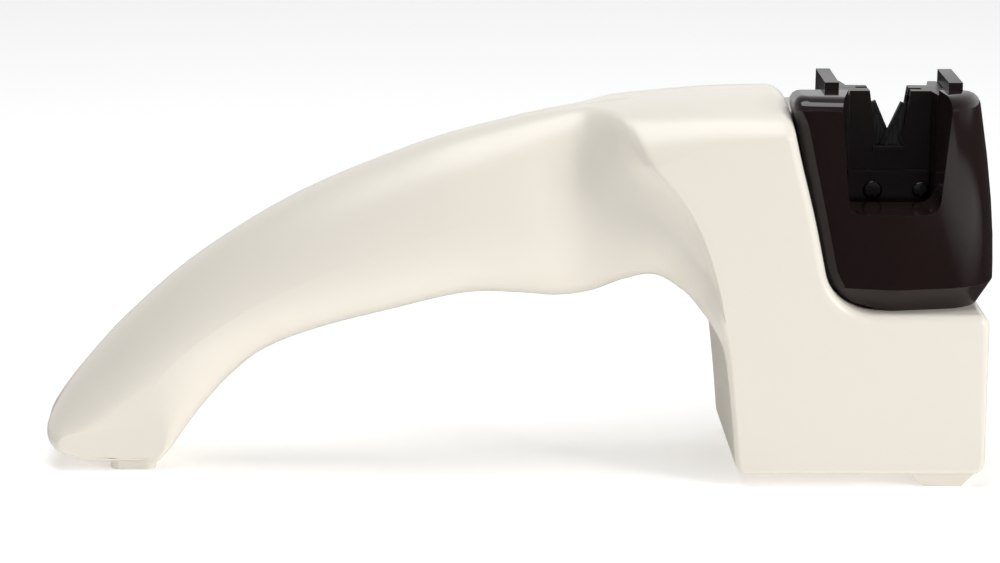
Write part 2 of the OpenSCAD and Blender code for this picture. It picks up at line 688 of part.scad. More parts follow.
head_screw_head_h = 1.5;
floor_t = 2;
head_screw_bite = 1.6;
module head_screws() {
    color("silver") for (s = [-1, 1])
        translate([head_x, s * head_screw_spacing / 2, ridge_z - tray_plate]) union() {
            translate([0, 0, -head_screw_head_h]) cylinder(h = head_screw_head_h, r = screw_head_r);
            cylinder(h = cartridge_z + head_screw_bite - ridge_z + tray_plate, r = screw_r);
        }
}

// Depths in the cartridge, counted from the slot plane
half_plates = plates_d / 2;
half_block = block_d / 2;
plate_inside = half_plates - plate_t;
arm_gap = 0.1;
wire_y = arm_gap + arm_t + wire_r + arm_gap / 2;
flange_t = 1.3;
side_in = cartridge_w / 2 - rail_t;
pivot_v = arm_w / 2;
eye_r = 2.2;
spring_r = pin_r + pin_gap + 2 * wire_r;
pocket_r = spring_r + 2 * wire_r + seat_gap;
small_screw_reach = 6.5;
small_head_h = 0.7;
lip_h = 0.8;
lip_out = 0.6;
arm_dir = [sin(arm_lean), cos(arm_lean)];
arm_out = [cos(arm_lean), -sin(arm_lean)];
// A place on the right arm, u along it from the V's lowest point and v outwards
function arm_place(u, v) = [head_x, apex_z] + u * arm_dir + v * arm_out;
pivot = arm_place(-arm_under, pivot_v);
stop_above_pivot = 2.5;
stop_u = stop_above_pivot - arm_under;
stop = arm_place(stop_u, stone_t - stop_r - pin_gap);
small_screw = [head_x + small_screw_reach, pivot.y];

// The left arm's parts are the right arm's, turned half round the slot's middle
module turned_half() {
    translate([head_x, 0, 0]) rotate([0, 0, 180]) translate([-head_x, 0, 0]) children();
}

// Near half of the slotted wall, with cheeks that lead into the channel
module slotted_half(side_reach, base_z) {
    half_d = cartridge_d / 2;
    difference() {
        union() {
            for (s = [-1, 1]) translate([0, 0, base_z]) linear_extrude(height = plate_z - base_z) polygon([
                [head_x + s * side_reach, -half_d], [head_x + s * channel_half(half_d), -half_d],
                [head_x + s * channel_w / 2, -half_plates], [head_x + s * channel_w / 2, -plate_inside],
                [head_x + s * side_reach, -plate_inside]]);
            box([head_x - side_reach, -half_plates, base_z], [head_x + side_reach, -plate_inside, plate_z]);
            box([head_x - side_reach, -half_plates, plate_z - flange_t], [head_x + side_reach, -pin_gap, plate_z]);
            box([head_x - channel_w / 2, -half_block, base_z], [head_x + channel_w / 2, -plate_inside, ledge_z]);
            box([head_x - slot_bottom_w * 2 / 3, -half_plates - lip_out, slot_z - lip_h],
                [head_x + slot_bottom_w * 2 / 3, -plate_inside, slot_z]);
        }
        upright([[head_x - slot_bottom_w / 2, slot_z], [head_x + slot_bottom_w / 2, slot_z],
            [head_x + slot_top_w / 2, plate_z], [head_x + slot_top_w / 2, plate_z + cut],
            [head_x - slot_top_w / 2, plate_z + cut], [head_x - slot_top_w / 2, plate_z]],
            -half_block - cut, half_block + cut);
        box([head_x, -arm_gap - arm_t, plate_z - flange_t - cut],
            [head_x + small_screw_reach, cut, plate_z + cut]);
        along_y(pivot, -half_block - cut, half_block, pin_r + pin_gap);
        along_y(pivot, -half_block + pin_head_r / 2, half_block, pocket_r);
        along_y([2 * head_x - pivot.x, pivot.y], -half_block + small_head_h, half_block, pin_r + pin_gap);
        along_y(stop, -half_block + small_head_h, half_block, stop_r + pin_gap);
        along_y(small_screw, -half_block - cut, half_block, small_screw_r + seat_gap);
        along_y([2 * head_x - small_screw.x, small_screw.y], -half_block + small_head_h, half_block,
            small_screw_r + pin_gap);
    }
}

module cartridge_front() {
    half_d = cartridge_d / 2;
    color([0.1, 0.075, 0.07]) difference() {
        union() {
            slotted_half(cartridge_w / 2, cartridge_z);
            for (s = [-1, 1]) translate([head_x + s * (side_in + rail_t / 2), 0, 0])
                box([-rail_t / 2, -half_d, cartridge_z], [rail_t / 2, half_d, rail_z]);
            box([head_x - cartridge_w / 2, -half_d, cartridge_z],
                [head_x + cartridge_w / 2, half_d, cartridge_z + floor_t]);
        }
        for (s = [-1, 1]) translate([head_x, s * head_screw_spacing / 2, cartridge_z - cut])
            cylinder(h = head_screw_bite + cut + pin_gap, r = screw_r + pin_gap);
    }
}

module cartridge_rear() {
    color([0.1, 0.075, 0.07]) turned_half()
        slotted_half(side_in - seat_gap, cartridge_z + floor_t + pin_gap);
}

module small_screw_form() {
    union() {
        along_y(small_screw, -half_block, 2 * half_block - 2 * small_head_h, small_screw_r);
        along_y(small_screw, -half_block - small_head_h, small_head_h, small_head_r);
    }
}

module cartridge_screws() {
    color("dimgray") {
        small_screw_form();
        turned_half() small_screw_form();
    }
}

// Places its children in the right arm's own frame: X outwards, Z along the arm
module on_arm() {
    translate([head_x, 0, apex_z]) rotate([0, arm_lean, 0]) children();
}

module arm_form() {
    difference() {
        on_arm() union() {
            box([stone_t, -arm_gap - arm_t, -arm_under], [arm_w, -arm_gap, arm_over]);
            along_y([pivot_v, -arm_under], -arm_gap - arm_t, arm_t, eye_r);
        }
        along_y(pivot, -half_block, half_block, pin_r + pin_gap);
    }
}

module stone_form() {
    on_arm() box([0, -arm_gap - arm_t, -stone_under], [stone_t, -arm_gap, arm_over]);
}

module pivot_pin_form() {
    union() {
        along_y(pivot, -half_block, 2 * half_block - small_head_h - pin_gap, pin_r);
        along_y(pivot, -half_block - small_head_h, small_head_h, pin_head_r);
    }
}

// The coil round the pin, the leg along the arm and the hook over its top
coil_r = spring_r - 2 * wire_r;
leg_reach = coil_r + wire_r;
hook_u = arm_over + wire_r + pin_gap;
hook_tip_u = 1.6;
tail_l = 2.2;
wire_sides = 8;
module wire(h) {
    rotate([0, 0, 180 / wire_sides]) cylinder(h = h, r = wire_r, $fn = wire_sides);
}

module spring_form(hook_tip) {
    ring_y = -half_block + pin_head_r / 2 + seat_gap;
    mid_y = -arm_gap - arm_t / 2;
    leg_v = pivot_v + leg_reach;
    on_arm() union() {
        difference() {
            along_y([pivot_v, -arm_under], ring_y, -wire_y + wire_r - ring_y, spring_r);
            along_y([pivot_v, -arm_under], ring_y - cut, half_block, coil_r);
        }
        translate([leg_v, -wire_y, -arm_under]) wire(arm_under + hook_u + wire_r);
        translate([pivot_v - leg_reach, -wire_y, -arm_under - tail_l]) wire(tail_l);
        translate([leg_v, -wire_y - wire_r, hook_u]) rotate([-90, 0, 0]) wire(wire_y + mid_y + 2 * wire_r);
        translate([stone_t, mid_y, hook_u]) rotate([0, 90, 0]) wire(leg_v - stone_t + wire_r);
        if (hook_tip) translate([stone_t + wire_r, mid_y, hook_u]) rotate([0, -arm_lean, 0]) wire(hook_tip_u);
    }
}

module right_arm() { color([0.3, 0.29, 0.29]) arm_form(); }
module left_arm() { color([0.3, 0.29, 0.29]) turned_half() arm_form(); }
module right_stone() { color([0.08, 0.08, 0.08]) stone_form(); }
module left_stone() { color([0.08, 0.08, 0.08]) turned_half() stone_form(); }
module right_pivot_pin() { color("silver") pivot_pin_form(); }
module left_pivot_pin() { color("silver") turned_half() pivot_pin_form(); }
module right_spring() { color("dimgray") spring_form(true); }
module left_spring() { color("dimgray") turned_half() spring_form(false); }

module stop_pin_form() {
    along_y(stop, -half_block + small_head_h + pin_gap, half_block - small_head_h - pin_gap - arm_gap, stop_r);
}

module stop_pins() {
    color("silver") {
        stop_pin_form();
        turned_half() stop_pin_form();
    }
}

front_shell();
rear_shell();
handle_foot();
base_foot();
shell_screws();
head_housing();
head_base();
head_screws();
cartridge_front();
cartridge_rear();
cartridge_screws();
right_arm();
left_arm();
right_stone();
left_stone();
right_pivot_pin();
left_pivot_pin();
stop_pins();
right_spring();
left_spring();
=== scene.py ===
# %% [markdown]
# # A hand held knife sharpener
# The real thing is a hollow cream plastic handle that arches over the fingers, moulded in
# two halves, and a dark plastic head with two sprung steel arms that cross in a slot.
# The CAD frame gives every place and size. This lesson dresses it: the shells and the
# head get smooth moulded surfaces, the small parts get their recesses, and each part
# gets a material.

# %% Load the frame
import math

import bmesh
import bpy
from mathutils import Matrix, Vector


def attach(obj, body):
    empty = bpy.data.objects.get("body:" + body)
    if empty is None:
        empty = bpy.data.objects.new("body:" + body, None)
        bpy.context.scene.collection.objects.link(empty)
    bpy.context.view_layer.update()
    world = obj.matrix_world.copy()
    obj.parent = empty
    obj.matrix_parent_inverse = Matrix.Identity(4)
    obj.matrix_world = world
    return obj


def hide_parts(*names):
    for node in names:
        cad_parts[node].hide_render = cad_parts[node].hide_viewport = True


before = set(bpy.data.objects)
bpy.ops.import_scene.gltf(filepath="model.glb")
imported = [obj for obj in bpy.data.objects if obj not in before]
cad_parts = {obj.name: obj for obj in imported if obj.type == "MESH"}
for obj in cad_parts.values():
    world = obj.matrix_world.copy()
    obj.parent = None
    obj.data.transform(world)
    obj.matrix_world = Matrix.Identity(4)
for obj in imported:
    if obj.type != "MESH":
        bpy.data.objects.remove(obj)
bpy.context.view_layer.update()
MM = 0.001
print("nodes:", sorted(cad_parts))

# %% [markdown]
# ## Camera
# The photograph was taken from a little above, from the near side, through a long lens.
# A camera fitted to the straight edges of the base and the head gives its place and
# turn, so the script writes that fit down as it is. There is no shift and no blur.

# %% Camera
camera_data = bpy.data.cameras.new("camera")
camera_data.sensor_width = 36.0
camera_data.lens = 135.72
camera_data.clip_start = 0.05
camera = bpy.data.objects.new("camera", camera_data)
bpy.context.scene.collection.objects.link(camera)
camera_right = Vector((0.9992917, -0.03608266, 0.01068322))
camera_up = Vector((-0.00195874, 0.23363524, 0.97232234))
camera_back = Vector((-0.03757996, -0.97165458, 0.23339909))
camera_turn = Matrix((camera_right, camera_up, camera_back)).transposed().to_4x4()
camera.matrix_world = Matrix.Translation((-0.03217, -0.73708, 0.21377)) @ camera_turn
bpy.context.scene.camera = camera
print("camera at", [round(v, 4) for v in camera.location])

# %% [markdown]
# ## The body's ribs
# The handle and tower could be sculpted, but a moulded body has a plan behind it, so
# ribs are kinder: each rib joins a point of the lower outline to one of the upper
# outline. A row holds those two points, the half width, how far the rounding reaches
# along the rib and in depth at each end, and how far the rib bows to its right, all as
# shares of the whole.

# %% Sizes and ribs
length, width, height = 189.0, 44.0, 76.2
shelf_height, base_lift, right_end = 35.1, 2.6, 92.3
half_width = width / 2
nook_lean = math.radians(12.2)
nook_top = Vector((52.4, height))
crown_fall = 3.6

ribs = [
    (0.119, 0.0236, 0.045, 0.0236, 0.445, 0.06, 0.12, 0.06, 0.12, 0),
    (0.133, 0.060, 0.011, 0.049, 0.464, 0.08, 0.26, 0.08, 0.27, 0),
    (0.148, 0.108, 0.000, 0.097, 0.477, 0.20, 0.52, 0.17, 0.52, 0),
    (0.169, 0.169, 0.010, 0.164, 0.495, 0.37, 0.80, 0.34, 0.80, 0),
    (0.195, 0.236, 0.039, 0.264, 0.518, 0.48, 0.95, 0.49, 0.95, 0),
    (0.230, 0.304, 0.085, 0.391, 0.550, 0.49, 0.96, 0.49, 0.96, 0),
    (0.286, 0.361, 0.160, 0.554, 0.600, 0.49, 0.96, 0.49, 0.96, 0),
    (0.362, 0.412, 0.267, 0.720, 0.655, 0.49, 0.96, 0.49, 0.96, 0),
    (0.443, 0.459, 0.394, 0.853, 0.673, 0.49, 0.96, 0.49, 0.96, 0),
    (0.500, 0.458, 0.481, 0.915, 0.636, 0.49, 0.96, 0.48, 0.92, 0),
    (0.540, 0.451, 0.529, 0.942, 0.573, 0.49, 0.96, 0.47, 0.86, 0),
    (0.577, 0.463, 0.556, 0.954, 0.524, 0.48, 0.95, 0.45, 0.79, 0),
    (0.611, 0.496, 0.570, 0.960, 0.550, 0.44, 0.90, 0.40, 0.72, 0.004),
    (0.643, 0.517, 0.584, 0.965, 0.655, 0.32, 0.74, 0.32, 0.60, 0.011),
    (0.672, 0.490, 0.597, 0.970, 0.820, 0.18, 0.46, 0.25, 0.53, 0.016),
    (0.688, 0.455, 0.607, 0.973, 0.940, 0.10, 0.26, 0.21, 0.50, 0.018),
    (0.699, 0.420, 0.620, 0.977, 1.000, 0.06, 0.16, 0.18, 0.47, 0.018),
    (0.711, 0.358, 0.657, 0.986, 1.000, 0.028, 0.07, 0.12, 0.38, 0.010),
    (0.7185, 0.230, 0.704, 0.996, 1.000, 0.019, 0.055, 0.075, 0.33, 0.001),
]
print(len(ribs), "ribs")

# %% [markdown]
# ## Two outlines
# A smooth curve runs through the rows, and at the tower it hands over to true corners:
# the tower's two corners, the nook that takes the head, and the ends of the base. Both
# outlines get the same number of points, so that each lower point has an upper partner.

# %% Outline helpers
def mix(a, b, t):
    return a + (b - a) * t


def smooth_step(t):
    t = min(max(t, 0.0), 1.0)
    return t * t * (3 - 2 * t)


def through_rows(rows, i, t):
    a, b, c = rows[max(i - 1, 0)], rows[i], rows[i + 1]
    d = rows[min(i + 2, len(rows) - 1)]
    return [
        (2 * q + (r - p) * t + (2 * p - 5 * q + 4 * r - s) * t**2 + (3 * q - p - 3 * r + s) * t**3) / 2
        for p, q, r, s in zip(a, b, c, d)
    ]


def corner_points(corner, way_in, way_out, radius, steps):
    turn = math.atan2(way_in.x * way_out.y - way_in.y * way_out.x, way_in.dot(way_out))
    start = corner - way_in * radius * math.tan(abs(turn) / 2)
    centre = start + Vector((-way_in.y, way_in.x)) * math.copysign(radius, turn)
    arm = start - centre
    return [centre + Matrix.Rotation(turn * i / steps, 2) @ arm for i in range(steps + 1)]


def line_points(a, b, steps):
    return [a.lerp(b, i / (steps + 1)) for i in range(1, steps + 1)]


# %% Lower and upper outline
rib_steps, corner_steps, nook_steps, line_steps = 8, 8, 24, 6
rows = []
for r in ribs:
    low = Vector(((r[0] - 0.5) * length, r[1] * height))
    up = Vector(((r[2] - 0.5) * length, r[3] * height))
    span, w = (up - low).length, r[4] * half_width
    rows.append([*low, *up, w, r[5] * span, r[6] * w, r[7] * span, r[8] * w, r[9] * length])

along_x, upward, downward = Vector((1, 0)), Vector((0, 1)), Vector((0, -1))
wall_way = Vector((math.sin(nook_lean), -math.cos(nook_lean)))
base_start = Vector(((0.7265 - 0.5) * length, base_lift))
left_wall_way = (base_start - Vector(rows[-1][0:2])).normalized()
nook_corner = Vector((nook_top.x + (height - shelf_height) * math.tan(nook_lean), shelf_height))

low_start = corner_points(base_start, left_wall_way, along_x, 2.4, corner_steps)
low_end = corner_points(Vector((right_end, base_lift)), along_x, upward, 2.4, corner_steps)
up_start = corner_points(nook_top, along_x, wall_way, 3.0, corner_steps)
up_nook = corner_points(nook_corner, wall_way, along_x, 10.6, nook_steps)
up_end = corner_points(Vector((right_end, shelf_height)), along_x, downward, 2.4, corner_steps)

wall_foot = low_start[-1].lerp(low_end[0], 0.24)
curve_foot = low_start[-1].lerp(low_end[0], 0.46)
shoulder_sizes = [half_width, 1.2, 1.2, 2.8, 7.0, 0]
block_sizes = [half_width, 1.2, 1.2, 1.9, 1.9, 0]
rows.append([*low_start[0], *up_start[0], *shoulder_sizes])
arch = [through_rows(rows, i, k / rib_steps) for i in range(len(rows) - 1) for k in range(rib_steps)]
low_line = [Vector(r[0:2]) for r in arch] + low_start + line_points(low_start[-1], wall_foot, line_steps)
low_line += [wall_foot] + line_points(wall_foot, curve_foot, nook_steps - 1) + [curve_foot] + low_end
up_line = [Vector(r[2:4]) for r in arch] + up_start + line_points(up_start[-1], up_nook[0], line_steps)
up_line += up_nook + up_end
sizes = [r[4:10] for r in arch]
sizes += [[mix(a, b, i / corner_steps) for a, b in zip(shoulder_sizes, block_sizes)]
          for i in range(corner_steps)]
sizes += [block_sizes] * (len(low_line) - len(sizes))
print(len(low_line), "lower and", len(up_line), "upper points")

# %% [markdown]
# ## One half of the body
# The shell could be cut from a block, but the real one is a thin skin. So a flat grid
# is pulled onto the ribs, one column of squares for each rib, and its open side is closed
# by one flat face at the parting plane, where the two halves meet.
# At the parting line the skin dips a little, which leaves the fine groove that shows
# where two mouldings meet.

# %% Points along one rib
edge_steps, middle_steps, crown_steps = 12, 7, 6
groove_depth, groove_half = 0.14, 0.16
crown_from_x, crown_to_x, crown_from_z, crown_to_z = 0.53, 0.62, 0.66, 0.98


def crowned(x, y, z):
    grow = smooth_step((x / length + 0.5 - crown_from_x) / (crown_to_x - crown_from_x))
    grow *= smooth_step((z / height - crown_from_z) / (crown_to_z - crown_from_z))
    return Vector((x, y, z - crown_fall * grow * (y / half_width) ** 2))


def bowed(p, low, up, bow):
    rib = up - low
    t = min(max((Vector((p.x, p.z)) - low).dot(rib) / rib.length_squared, 0), 1)
    out = bow * 4 * t * (1 - t) / rib.length
    return Vector((p.x + out * rib.y, p.y, p.z - out * rib.x))


def rounding(p, n, rib, w, along, deep):
    turn = smooth_step(2 * along / rib.length)
    points = []
    for i in range(edge_steps + 1):
        a = math.pi / 2 * i / edge_steps
        s = 1 - math.cos(a)
        move = n.lerp(rib / rib.length, turn * s) * along * s
        points.append(Vector((p.x + move.x, deep - w - deep * math.sin(a), p.y + move.y)))
    return points


def inward(line, i, side):
    way = (line[min(i + 1, len(line) - 1)] - line[max(i - 1, 0)]).normalized()
    return Vector((-way.y, way.x)) * side


def seam(p, n, reach):
    """From the groove at the parting line to the start of the rounding."""
    dip = p + n * groove_depth
    top = [Vector((p.x, -mix(groove_half, reach, k / crown_steps), p.y)) for k in range(crown_steps)]
    return [Vector((dip.x, 0, dip.y))] + top


def rib_points(i):
    low, up = low_line[i], up_line[i]
    low_n, up_n = inward(low_line, i, 1), inward(up_line, i, -1)
    w, low_along, low_deep, up_along, up_deep, bow = sizes[i]
    w = min(w, half_width)
    a = rounding(low, low_n, up - low, w, low_along, low_deep)
    b = rounding(up, up_n, low - up, w, up_along, up_deep)
    middle = [a[-1].lerp(b[-1], k / (middle_steps + 1)) for k in range(1, middle_steps + 1)]
    points = seam(low, low_n, w - low_deep) + a + middle + b[::-1] + seam(up, up_n, w - up_deep)[::-1]
    return [crowned(*bowed(p, low, up, bow)) for p in points]


skin = [rib_points(i) for i in range(len(low_line))]
print(len(skin), "ribs of", len(skin[0]), "points")

# %% [markdown]
# ## The two ends
# The first and last ribs are outlines with nothing across them. A few smaller copies of
# each, folded flat onto its middle line, close the tip of the handle and the base's end.

# %% Close the two ends
cap_steps = 3


def closed_by(rib):
    count = len(rib)
    return [[rib[j].lerp(rib[count - 1 - j], k / cap_steps / 2) for j in range(count)]
            for k in range(1, cap_steps + 1)]


skin = closed_by(skin[0])[::-1] + skin + closed_by(skin[-1])
print(len(skin), "ribs with the closed ends")


# %% Pull a grid onto the ribs
def link(name, bm, smooth=True):
    mesh = bpy.data.meshes.new(name)
    bm.to_mesh(mesh)
    bm.free()
    for face in mesh.polygons:
        face.use_smooth = smooth
    piece = bpy.data.objects.new(name, mesh)
    bpy.context.scene.collection.objects.link(piece)
    return piece


def half_skin(side):
    rows_n, cols_n = len(skin), len(skin[0])
    bm = bmesh.new()
    bmesh.ops.create_grid(bm, x_segments=rows_n - 1, y_segments=cols_n - 1, size=1)
    assert len(bm.verts) == rows_n * cols_n
    for v in bm.verts:
        i = round((v.co.x + 1) / 2 * (rows_n - 1))
        j = round((v.co.y + 1) / 2 * (cols_n - 1))
        p = skin[i][j]
        v.co = Vector((p.x, p.y * side, p.z)) * MM
    bmesh.ops.remove_doubles(bm, verts=bm.verts, dist=0.002 * MM)
    rim = [e for e in bm.edges if e.is_boundary]
    for edge in rim:
        edge.smooth = False
    bmesh.ops.holes_fill(bm, edges=rim, sides=0)
    bmesh.ops.recalc_face_normals(bm, faces=bm.faces)
    return bm


def flat_stays_flat(piece):
    weighted = piece.modifiers.new("even_shading", "WEIGHTED_NORMAL")
    weighted.weight = 80
    weighted.keep_sharp = True


front = link("front_skin", half_skin(1))
rear = link("rear_skin", half_skin(-1))
print("front:", len(front.data.polygons), "faces")

# %% [markdown]
# ## Turned shapes and cuts
# Screws, pins and sleeves are round about an axis, so their outline is drawn once and
# spun. A cut takes a round or cross-shaped tool out of a piece, as a drill or a press
# would, and its result is kept as plain mesh.

# %% Helpers for small parts
def turned(bm, profile, x, z, segments=40):
    """profile: (radius, y) pairs in millimetres, spun about the Y line through x, z."""
    verts = [bm.verts.new(Vector((x + r, y, z)) * MM) for r, y in profile]
    edges = [bm.edges.new(pair) for pair in zip(verts, verts[1:])]
    bmesh.ops.spin(bm, geom=verts + edges, cent=Vector((x, 0, z)) * MM, axis=(0, 1, 0),
                   angle=2 * math.pi, steps=segments, use_merge=True)
    bmesh.ops.remove_doubles(bm, verts=bm.verts, dist=0.001 * MM)
    bmesh.ops.recalc_face_normals(bm, faces=bm.faces)


def kept(piece):
    """Turns the piece's modifiers into plain mesh."""
    graph = bpy.context.evaluated_depsgraph_get()
    graph.update()
    mesh = bpy.data.meshes.new_from_object(piece.evaluated_get(graph))
    piece.modifiers.clear()
    piece.data = mesh


def cut(piece, tool):
    step = piece.modifiers.new("cut", "BOOLEAN")
    step.operation = "DIFFERENCE"
    step.object = tool
    step.solver = "EXACT"
    step.use_self = True
    kept(piece)
    bpy.data.objects.remove(tool)


def joined(piece, *others):
    bm = bmesh.new()
    for part in (piece, *others):
        bm.from_mesh(part.data)
    bm.to_mesh(piece.data)
    bm.free()
    for part in others:
        bpy.data.objects.remove(part)


print("helpers ready")

# %% [markdown]
# ## Screw wells in the rear shell
# The five screws go in from the far side, down deep wells, so that the near side stays
# clean. Each well is a straight round cut that ends in a flat seat for the screw head.

# %% Walls, wells and sleeves
screw_places = [(-58.02, 31.24, 12.1), (35.91, 60.96, 22.0), (50.085, 14.478, 22.0),
                (70.05, 28.5, 22.0), (83.55, 28.5, 22.0)]
seat_y, well_radius = 6.02, 2.45

bm = bmesh.new()
for x, z, w in screw_places:
    turned(bm, [(0, seat_y), (well_radius, seat_y), (well_radius, w + 3), (0, w + 3)], x, z)
cut(rear, link("well_tool", bm))
print("rear shell:", len(rear.data.polygons), "faces")

# %% [markdown]
# ## Parts that keep their CAD shape
# The head, its tray, the feet and the cartridge have the right shape in the CAD model,
# but every edge of a real moulding is rounded a little, and that is what catches the
# light. So a copy of each node is merged and gets a bevel on its sharp edges.

# %% Softened copies
def copy_of(node, name, width_mm, segments=3, angle=32):
    bm = bmesh.new()
    bm.from_mesh(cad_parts[node].data)
    bmesh.ops.remove_doubles(bm, verts=bm.verts, dist=0.002 * MM)
    bmesh.ops.dissolve_limit(bm, angle_limit=math.radians(0.6), verts=bm.verts, edges=bm.edges)
    piece = link(name, bm)
    if width_mm:
        soft = piece.modifiers.new("soft_edges", "BEVEL")
        soft.width = width_mm * MM
        soft.segments = segments
        soft.profile = 0.5
        soft.limit_method = "ANGLE"
        soft.angle_limit = math.radians(angle)
        soft.use_clamp_overlap = True
    flat_stays_flat(piece)
    return piece


housing = copy_of("head_housing", "guard_housing", 0.6)
tray = copy_of("head_base", "bevelled_tray", 0.25)
cartridge = copy_of("cartridge_front", "slotted_front", 0.18, 2)
backing = copy_of("cartridge_rear", "slotted_rear", 0.18, 2)
pad = copy_of("handle_foot", "handle_pad", 0.35)
bar = copy_of("base_foot", "base_bar", 0.35)
print("housing:", len(housing.data.polygons), "faces before its bevel")

# %% [markdown]
# ## Screws and pins
# Each screw has a low domed head with a cross recess. The pivot pins have plain heads
# with a small rounded edge.

# %% Screws
def cross_tool(x, z, y, reach, arm):
    bm = bmesh.new()
    for turn in (0, math.pi / 2):
        box = bmesh.ops.create_cube(bm, size=1)["verts"]
        bmesh.ops.scale(bm, verts=box, vec=(reach * MM, 2 * arm * MM, 0.42 * MM))
        bmesh.ops.rotate(bm, verts=box, cent=(0, 0, 0), matrix=Matrix.Rotation(turn, 3, "Y"))
        bmesh.ops.translate(bm, verts=box, vec=Vector((x, y, z)) * MM)
    return link("cross_tool", bm)


def screw(name, x, z, y_head, side, head_r, head_h, shank_r, shank_l):
    """side is the way the head faces along Y."""
    bm = bmesh.new()
    top, rim = y_head + side * head_h, y_head + side * head_h * 0.55
    turned(bm, [(0, y_head - side * shank_l), (shank_r, y_head - side * shank_l),
                (shank_r, y_head), (head_r, y_head), (head_r, rim),
                (head_r * 0.93, y_head + side * head_h * 0.8),
                (head_r * 0.72, top), (0, top)], x, z, 36)
    piece = link(name, bm)
    cut(piece, cross_tool(x, z, top, head_r * 1.15, head_h * 0.5))
    piece.data.set_sharp_from_angle(angle=math.radians(35))
    return piece


shell_screws = [screw("shell_screw", x, z, seat_y, 1, 2.3, 1.8, 1.25, 14.0) for x, z, w in screw_places]
joined(*shell_screws)
shell_screw_set = shell_screws[0]
shell_screw_set.name = "shell_screw_set"
head_x, pivot_x, pivot_z = 73.45, 70.305, 56.765
plate_y, small_x = 4.6, 6.5
small_sizes = (1.7, 0.7, 0.9, 7.8)
small_front = screw("small_screw", head_x + small_x, pivot_z, -plate_y, -1, *small_sizes)
small_rear = screw("small_screw_rear", head_x - small_x, pivot_z, plate_y, 1, *small_sizes)
joined(small_front, small_rear)
small_front.name = "cartridge_screw_set"
print("screws:", len(shell_screw_set.data.polygons), "faces")


# %% Pins
def pin(name, x, z, y_head, side):
    bm = bmesh.new()
    turned(bm, [(0, y_head - side * 8.46), (1.1, y_head - side * 8.46), (1.1, y_head),
                (1.9, y_head), (1.9, y_head + side * 0.45), (1.72, y_head + side * 0.63),
                (1.45, y_head + side * 0.7), (0, y_head + side * 0.7)], x, z, 36)
    piece = link(name, bm)
    piece.data.set_sharp_from_angle(angle=math.radians(50))
    return piece


right_pin = pin("right_pin", pivot_x, pivot_z, -plate_y, -1)
left_pin = pin("left_pin", 2 * head_x - pivot_x, pivot_z, plate_y, 1)
print("pins at", pivot_x, "and", round(2 * head_x - pivot_x, 3))

# %% [markdown]
# ## Materials
# The cream shells are moulded plastic with a satin skin: a pale warm colour that
# varies by a percent or two, and a very fine grain. The head is dark brown, polished,
# so it needs a low roughness and a slight waviness that bends its reflections.

# %% Material helpers
def new_material(name):
    material = bpy.data.materials.new(name)
    material.use_nodes = True
    nodes, links = material.node_tree.nodes, material.node_tree.links
    return material, nodes, links, nodes["Principled BSDF"]


def noise(nodes, links, scale, detail=3.0, stretch=(1, 1, 1)):
    place = nodes.new("ShaderNodeTexCoord")
    mapping = nodes.new("ShaderNodeMapping")
    mapping.inputs["Scale"].default_value = stretch
    texture = nodes.new("ShaderNodeTexNoise")
    texture.inputs["Scale"].default_value = scale
    texture.inputs["Detail"].default_value = detail
    links.new(place.outputs["Object"], mapping.inputs["Vector"])
    links.new(mapping.outputs["Vector"], texture.inputs["Vector"])
    return texture


def spread(nodes, links, value, from_low, from_high, low, high):
    """Stretches the span from_low to from_high over low to high."""
    node = nodes.new("ShaderNodeMapRange")
    for key, number in (("From Min", from_low), ("From Max", from_high), ("To Min", low), ("To Max", high)):
        node.inputs[key].default_value = number
    links.new(value, node.inputs["Value"])
    return node.outputs["Result"]


def between(nodes, links, texture, low, high, from_low=0.3, from_high=0.7):
    return spread(nodes, links, texture.outputs["Fac"], from_low, from_high, low, high)


def two_colours(nodes, links, texture, a, b, low=0.35, high=0.65):
    ramp = nodes.new("ShaderNodeValToRGB")
    ramp.color_ramp.elements[0].position, ramp.color_ramp.elements[1].position = low, high
    ramp.color_ramp.elements[0].color, ramp.color_ramp.elements[1].color = (*a, 1), (*b, 1)
    links.new(texture.outputs["Fac"], ramp.inputs["Fac"])
    return ramp.outputs["Color"]


def bumped(nodes, links, shader, texture, strength, distance):
    bump = nodes.new("ShaderNodeBump")
    bump.inputs["Strength"].default_value = strength
    bump.inputs["Distance"].default_value = distance
    links.new(texture.outputs["Fac"], bump.inputs["Height"])
    links.new(bump.outputs["Normal"], shader.inputs["Normal"])


def plastic(name, a, b, rough, grain_scale, grain, specular=0.5, wave=None):
    material, nodes, links, shader = new_material(name)
    patches = noise(nodes, links, 12, 1)
    links.new(two_colours(nodes, links, patches, a, b, 0.2, 0.8), shader.inputs["Base Color"])
    links.new(between(nodes, links, noise(nodes, links, 60, 1), *rough, 0.2, 0.8), shader.inputs["Roughness"])
    shader.inputs["Specular IOR Level"].default_value = specular
    fine = noise(nodes, links, grain_scale, 2) if wave is None else noise(nodes, links, wave, 1)
    bumped(nodes, links, shader, fine, grain, 0.0001)
    return material


cream = plastic("cream_moulding", (0.845, 0.795, 0.705), (0.86, 0.812, 0.726), (0.30, 0.33), 4000, 0.05)
soft_cream = plastic("soft_foot_plastic", (0.82, 0.77, 0.68), (0.85, 0.80, 0.71), (0.5, 0.62), 3000, 0.25)
dark_gloss = plastic("dark_polished_moulding", (0.0110, 0.0055, 0.0055), (0.0135, 0.0070, 0.0072),
                     (0.08, 0.12), 0, 0.10, 0.42, wave=90)
dark_satin = plastic("dark_satin_moulding", (0.0085, 0.0042, 0.0040), (0.0110, 0.0058, 0.0056),
                     (0.26, 0.36), 3500, 0.14, 0.5)
tray_dark = plastic("tray_moulding", (0.018, 0.0115, 0.011), (0.023, 0.0155, 0.015),
                    (0.30, 0.40), 3000, 0.2, 0.5)
print("plastics ready")


